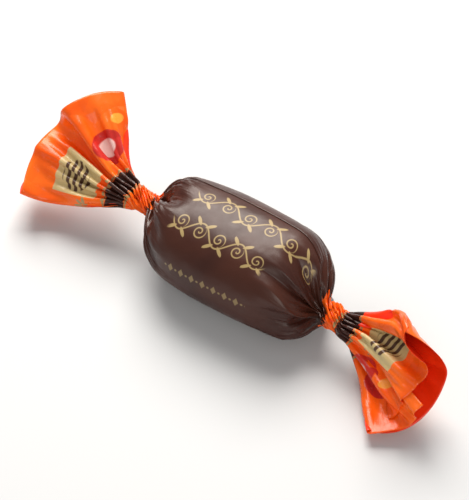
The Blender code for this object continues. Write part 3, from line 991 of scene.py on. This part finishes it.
# %% Crumple heights, in millimetres
UNEVEN_SCALE, UNEVEN_HEIGHT = 0.13, 0.35
FACET_WIDTH, FACET_BEVEL, FACET_HEIGHT, SWEET_FACETS = 5.5, 0.30, 0.55, 0.2
GATHER_SCALES, GATHER_HEIGHT = (0.09, 0.75, 0.0), 0.7
GATHERS_AT, GATHERS_HALF, GATHERS_FADE = 23.5, 8.0, 7.0
FACETS_FROM, FACETS_FADE = 27.0, 3.0
uneven = add_node(ink, "TexNoise", {"noise_dimensions": "2D"}, sheet_mm, Scale=UNEVEN_SCALE, Detail=2.0)
uneven = sum_up("MULTIPLY", uneven, UNEVEN_HEIGHT)
facets = add_node(ink, "TexVoronoi", {"voronoi_dimensions": "2D", "feature": "DISTANCE_TO_EDGE"},
                  sheet_mm, Scale=1 / FACET_WIDTH)
facets = sum_up("MULTIPLY", sum_up("MINIMUM", facets, FACET_BEVEL), FACET_HEIGHT)
stretched = add_node(ink, "VectorMath", {"operation": "MULTIPLY"}, sheet_mm, GATHER_SCALES)
gathers = add_node(ink, "TexNoise", {"noise_dimensions": "2D"}, stretched, Scale=1.0, Detail=3.0)
near_neck = within(away_from(from_middle, GATHERS_AT), GATHERS_HALF, GATHERS_FADE)
in_fan_mask = within(from_middle, FACETS_FROM, FACETS_FADE)
in_fan_mask = sum_up("SUBTRACT", 1.0, in_fan_mask)
facets = both(facets, sum_up("MULTIPLY_ADD", in_fan_mask, 1 - SWEET_FACETS, SWEET_FACETS))
gathers = both(sum_up("MULTIPLY", gathers, GATHER_HEIGHT), near_neck)
crumple = sum_up("ADD", sum_up("ADD", uneven, facets), gathers)
bump = add_node(ink, "Bump", {}, Strength=1.0, Distance=MM, Height=crumple)

# %% [markdown]
# The gloss isn't the same all over. The film is a little duller where it is drawn
# tight over the sweet and where its ink flakes, and keeps small hard glints in the
# necks and fans. A thin clear coat stands for the film's smooth outer skin.

# %% Gloss and shader
PLAIN_ROUGHNESS, FLAKED_ROUGHNESS, TIGHT_ROUGHNESS = 0.18, 0.14, 0.15
TIGHT_UNTIL, TIGHT_FADE = 15.0, 5.0
tight = within(from_middle, TIGHT_UNTIL, TIGHT_FADE)
gloss = sum_up("MULTIPLY_ADD", flaking, FLAKED_ROUGHNESS, PLAIN_ROUGHNESS)
gloss = sum_up("MULTIPLY_ADD", tight, TIGHT_ROUGHNESS, gloss)
shader = add_node(ink, "BsdfPrincipled", {}, Base_Color=inks, Roughness=gloss, IOR=1.5, Normal=bump,
                  Specular_IOR_Level=0.30, Coat_Weight=0.07, Coat_Roughness=0.15, Coat_IOR=1.5)
add_node(ink, "OutputMaterial", {}, Surface=shader)
print("the printed face is drawn by", len(ink.nodes), "nodes")

# %% [markdown]
# The back of the film isn't printed. Its inks show through the clear plastic, and
# its orange is painted deeper and redder than the face's, as painted shade and
# painted light shining through the film. Its brown is nearly black, and it is
# duller than the face. The helpers work on whichever tree is called ink, so the
# same brown grounds are laid out again in the back's tree.

# %% The film's unprinted back
BACK_UNEVEN_SCALE, BACK_UNEVEN_HEIGHT, BACK_ROUGHNESS = 0.15, 0.3, 0.38
# the back's orange and red are painted deeper than the face's: painted shade and painted light shining
# through the film
BACK_ORANGE_PAINTED_SHADE, BACK_RED_PAINTED_SHADE, BACK_BROWN = linear("#fb3b0a"), linear("#ee2c05"), linear("#2c1710")
ink = empty_tree(back)
sheet_mm, along, around = sheet_place(ink)
_, flaking, on_sweet, to_band = brown_grounds()
uneven = add_node(ink, "TexNoise", {"noise_dimensions": "2D"}, sheet_mm, Scale=BACK_UNEVEN_SCALE, Detail=2.0)
# the deeper, redder orange laid on the back here is painted shade and painted light shining through the film
through = painted(BACK_ORANGE_PAINTED_SHADE, BACK_RED_PAINTED_SHADE, uneven)
through = painted(through, BACK_BROWN, sum_up("MAXIMUM", on_sweet, within(to_band, BAND_HALF)))
bump = add_node(ink, "Bump", {}, Strength=1.0, Distance=BACK_UNEVEN_HEIGHT * MM, Height=uneven)
shader = add_node(ink, "BsdfPrincipled", {}, Base_Color=through, Roughness=BACK_ROUGHNESS, IOR=1.5,
                  Normal=bump)
add_node(ink, "OutputMaterial", {}, Surface=shader)
print("the back is drawn by", len(ink.nodes), "nodes")

# %% Dress the film
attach(film, "root")
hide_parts("wrapped_caramel")

# %% [markdown]
# ## Table, light and camera
#
# A plain pale table. A large soft light above and behind to the left gives the long
# highlight on the sweet's upper face, a weaker one in front lifts the near fan, and
# a pale room fills the shadows. Standard colour keeps the inks as bright as they
# are mixed, where a film-like view would turn the orange to salmon.

# %% Table
TABLE_SIZE = 3.0
bpy.ops.object.select_all(action="DESELECT")
bpy.ops.mesh.primitive_plane_add(size=TABLE_SIZE)
table = bpy.context.object
table.name = "table"
table_top = bpy.data.materials.new("pale_laminate")
table_top.use_nodes = True
surface = table_top.node_tree.nodes["Principled BSDF"]
surface.inputs["Base Color"].default_value = linear("#ccd0d4")
surface.inputs["Roughness"].default_value = 0.6
table.data.materials.append(table_top)

# %% Soft light
room = bpy.data.worlds.new("pale_room")
room.use_nodes = True
air = room.node_tree.nodes["Background"]
air.inputs["Color"].default_value = linear("#f6f4f1")
air.inputs["Strength"].default_value = 0.32
bpy.context.scene.world = room
LAMPS = {"overhead": {"place": (-0.20, 0.28, 0.40), "size": 0.38, "watts": 4.9},
         "front": {"place": (0.30, -0.34, 0.30), "size": 0.30, "watts": 1.1}}
for name, facts in LAMPS.items():
    place = facts["place"]
    bpy.ops.object.light_add(type="AREA", location=place)
    lamp = bpy.context.object
    lamp.name = name
    lamp.data.size = facts["size"]
    lamp.data.energy = facts["watts"]
    lamp.data.color = linear("#fff8f0")[:3]
    lamp.rotation_euler = (-Vector(place)).to_track_quat("-Z", "Y").to_euler()
    print("the", name, "lamp is %.0f mm from the sweet" % (Vector(place).length / MM))

# %% Camera
AZIMUTH, ELEVATION = math.radians(35.0), math.radians(48.0)
CAMERA_DISTANCE, LENS, NEAREST = 0.36, 148, 0.01
middle = (Vector(cad_box[0]) + Vector(cad_box[1])) / 2
towards = Vector((math.sin(AZIMUTH) * math.cos(ELEVATION), -math.cos(AZIMUTH) * math.cos(ELEVATION),
                  math.sin(ELEVATION)))
facing = towards.to_track_quat("Z", "Y").to_euler()
bpy.ops.object.camera_add(location=middle + towards * CAMERA_DISTANCE, rotation=facing)
camera = bpy.context.object
camera.data.lens = LENS
camera.data.clip_start = NEAREST
bpy.context.scene.camera = camera
bpy.context.scene.view_settings.view_transform = "Standard"
